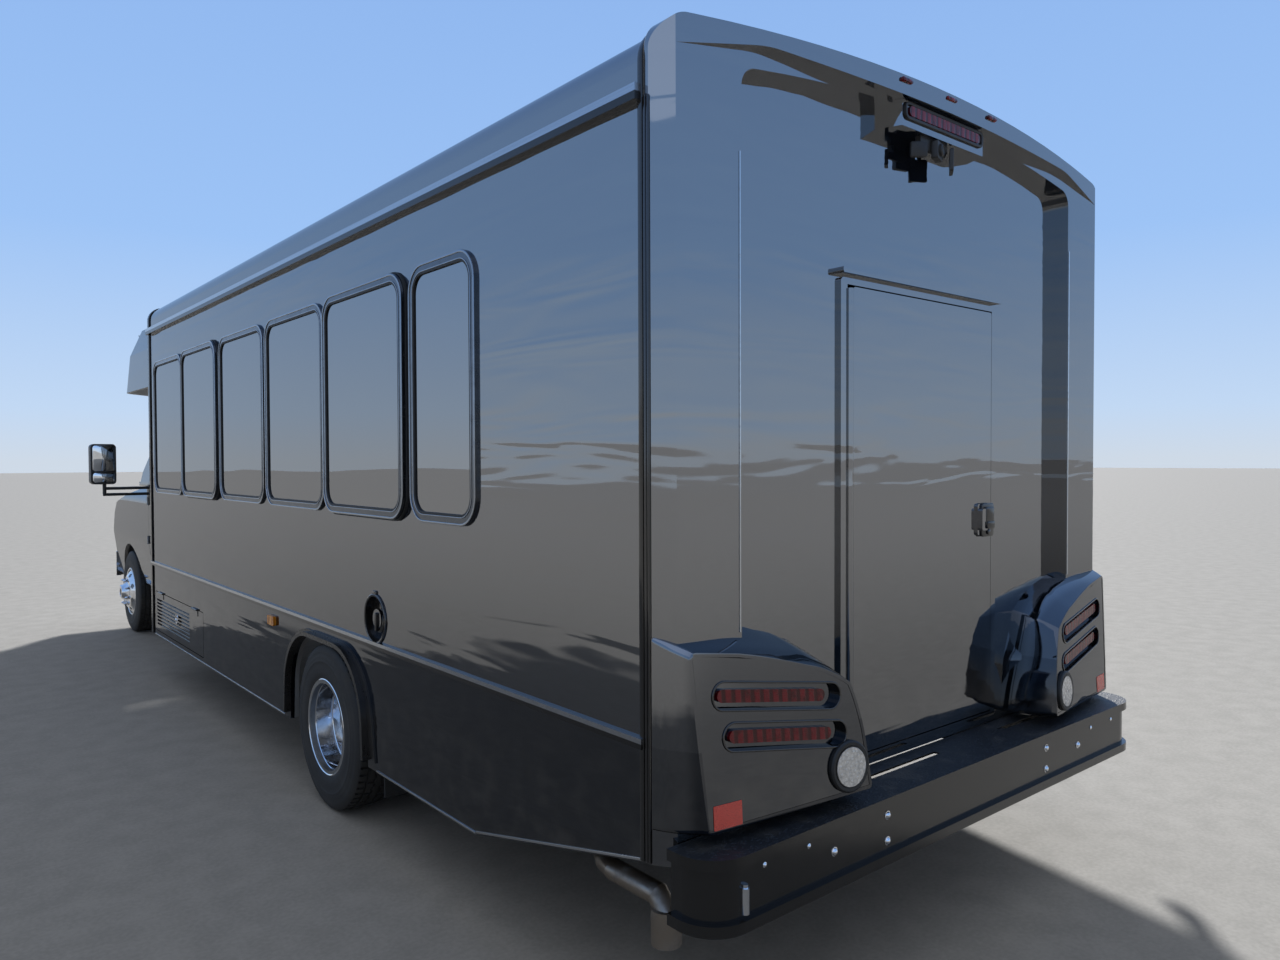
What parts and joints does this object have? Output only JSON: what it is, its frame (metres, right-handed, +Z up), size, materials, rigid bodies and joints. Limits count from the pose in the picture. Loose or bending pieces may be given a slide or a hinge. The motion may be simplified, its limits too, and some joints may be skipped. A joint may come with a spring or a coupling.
{
  "type": "shuttle minibus",
  "caption": "Shuttle minibus: boxy composite passenger body behind a van cab, with paired rear wheels, recessed rear door, lamp pods and a step bumper.",
  "frame": {"origin": "on the ground, on the centre line, halfway between the front and the rear bumper", "axes": "+Z up, the nose points to -Y, the driver's side is +X"},
  "size_m": [2.874, 8.676, 2.773],
  "materials": {
    "amber_lamps": "glossy lens",
    "body_floor": "sealed board on painted bearers",
    "body_mouldings": "bright and black trims",
    "body_roof": "gloss",
    "body_side_left": "gloss",
    "body_side_right": "gloss",
    "cab_door_left": "gloss",
    "cab_door_right": "gloss",
    "cab_shell": "gloss",
    "chassis_frame": "satin",
    "compartment_door": "gloss",
    "dashboard": "grained",
    "door_glass_left": "tinted",
    "door_glass_right": "tinted",
    "drive_shaft": "plain",
    "engine_block": "rough",
    "entry_glass_front": "tinted",
    "entry_glass_rear": "tinted",
    "entry_leaf_front": "satin",
    "entry_leaf_rear": "satin",
    "exhaust": "dull",
    "front_axle": "painted",
    "front_bumper": "polished",
    "front_cap": "gloss",
    "front_wings": "gloss",
    "fuel_tank": "satin",
    "grille": "bright",
    "headlamps": "clear lens",
    "hood": "gloss",
    "knuckle_left": "rough",
    "knuckle_right": "rough",
    "mirror_left": "grained",
    "mirror_right": "grained",
    "mud_flaps": "matte",
    "rear_axle": "painted",
    "rear_bumper": "semi-gloss",
    "rear_cap": "gloss",
    "rear_door": "gloss",
    "red_lamps": "glossy lens",
    "reverse_lamps": "clear lens",
    "seats": "woven",
    "side_glass": "dark tint",
    "steering_wheel": "grained",
    "tyre_front_left": "matte",
    "tyre_front_right": "matte",
    "tyres_rear_left": "matte",
    "tyres_rear_right": "matte",
    "wheel_flares": "satin",
    "wheel_front_left": "polished",
    "wheel_front_right": "polished",
    "wheels_rear_left": "polished",
    "wheels_rear_right": "polished",
    "window_frames": "satin",
    "windscreen": "clear"
  },
  "bodies": {
    "bus": {"amber_lamps": "amber_lamps", "body_floor": "body_floor", "body_mouldings": "body_mouldings", "body_roof": "body_roof", "body_side_left": "body_side_left", "body_side_right": "body_side_right", "cab_shell": "cab_shell", "chassis_frame": "chassis_frame", "dashboard": "dashboard", "drive_shaft": "drive_shaft", "engine_block": "engine_block", "exhaust": "exhaust", "front_axle": "front_axle", "front_bumper": "front_bumper", "front_cap": "front_cap", "front_wings": "front_wings", "fuel_tank": "fuel_tank", "grille": "grille", "headlamps": "headlamps", "mud_flaps": "mud_flaps", "rear_axle": "rear_axle", "rear_bumper": "rear_bumper", "rear_cap": "rear_cap", "red_lamps": "red_lamps", "reverse_lamps": "reverse_lamps", "seats": "seats", "side_glass": "side_glass", "steering_wheel": "steering_wheel", "wheel_flares": "wheel_flares", "window_frames": "window_frames", "windscreen": "windscreen"},
    "knuckle_left_body": {"knuckle_left": "knuckle_left"},
    "knuckle_right_body": {"knuckle_right": "knuckle_right"},
    "front_wheel_left": {"wheel_front_left": "wheel_front_left", "tyre_front_left": "tyre_front_left"},
    "front_wheel_right": {"wheel_front_right": "wheel_front_right", "tyre_front_right": "tyre_front_right"},
    "rear_wheels_left": {"wheels_rear_left": "wheels_rear_left", "tyres_rear_left": "tyres_rear_left"},
    "rear_wheels_right": {"wheels_rear_right": "wheels_rear_right", "tyres_rear_right": "tyres_rear_right"},
    "door_left": {"cab_door_left": "cab_door_left", "door_glass_left": "door_glass_left", "mirror_left": "mirror_left"},
    "door_right": {"cab_door_right": "cab_door_right", "door_glass_right": "door_glass_right", "mirror_right": "mirror_right"},
    "hood_body": {"hood": "hood"},
    "rear_door_body": {"rear_door": "rear_door"},
    "locker_door_body": {"compartment_door": "compartment_door"},
    "entry_front": {"entry_leaf_front": "entry_leaf_front", "entry_glass_front": "entry_glass_front"},
    "entry_rear": {"entry_leaf_rear": "entry_leaf_rear", "entry_glass_rear": "entry_glass_rear"}
  },
  "joints": [
    {"name": "steer_left", "type": "hinge", "parent": "bus", "child": "knuckle_left_body", "pos_m": [0.7, -3.578, 0.372], "axis": [0, 0, 1], "range_deg": [-33, 33]},
    {"name": "steer_right", "type": "hinge", "parent": "bus", "child": "knuckle_right_body", "pos_m": [-0.7, -3.578, 0.372], "axis": [0, 0, 1], "range_deg": [-33, 33]},
    {"name": "front_wheel_left_spin", "type": "hinge", "parent": "knuckle_left_body", "child": "front_wheel_left", "pos_m": [0.8815, -3.578, 0.372], "axis": [1, 0, 0], "continuous": true},
    {"name": "front_wheel_right_spin", "type": "hinge", "parent": "knuckle_right_body", "child": "front_wheel_right", "pos_m": [-0.8815, -3.578, 0.372], "axis": [1, 0, 0], "continuous": true},
    {"name": "rear_wheels_left_spin", "type": "hinge", "parent": "bus", "child": "rear_wheels_left", "pos_m": [0.975, 1.858, 0.372], "axis": [1, 0, 0], "continuous": true},
    {"name": "rear_wheels_right_spin", "type": "hinge", "parent": "bus", "child": "rear_wheels_right", "pos_m": [-0.975, 1.858, 0.372], "axis": [1, 0, 0], "continuous": true},
    {"name": "door_left_hinge", "type": "hinge", "parent": "bus", "child": "door_left", "pos_m": [1.01, -2.713, 0.9], "axis": [0, 0, -1], "range_deg": [0, 65]},
    {"name": "door_right_hinge", "type": "hinge", "parent": "bus", "child": "door_right", "pos_m": [-1.01, -2.713, 0.9], "axis": [0, 0, 1], "range_deg": [0, 65]},
    {"name": "hood_hinge", "type": "hinge", "parent": "bus", "child": "hood_body", "pos_m": [0, -3.077, 1.4], "axis": [-1, 0, 0], "range_deg": [0, 55]},
    {"name": "rear_door_hinge", "type": "hinge", "parent": "bus", "child": "rear_door_body", "pos_m": [0.4157, 4.135, 1.37], "axis": [0, 0, -1], "range_deg": [0, 100]},
    {"name": "locker_door_hinge", "type": "hinge", "parent": "bus", "child": "locker_door_body", "pos_m": [1.2253, -0.812, 0.63], "axis": [0, -1, 0], "range_deg": [0, 80]},
    {"name": "entry_front_hinge", "type": "hinge", "parent": "bus", "child": "entry_front", "pos_m": [-1.2273, -1.397, 1.3], "axis": [0, 0, 1], "range_deg": [0, 85]},
    {"name": "entry_rear_hinge", "type": "hinge", "parent": "bus", "child": "entry_rear", "pos_m": [-1.2273, -0.577, 1.3], "axis": [0, 0, -1], "range_deg": [0, 85]}
  ],
  "couplings": [
    {"joint": "steer_right", "follows": "steer_left", "ratio": 1},
    {"joint": "entry_rear_hinge", "follows": "entry_front_hinge", "ratio": 1}
  ]
}
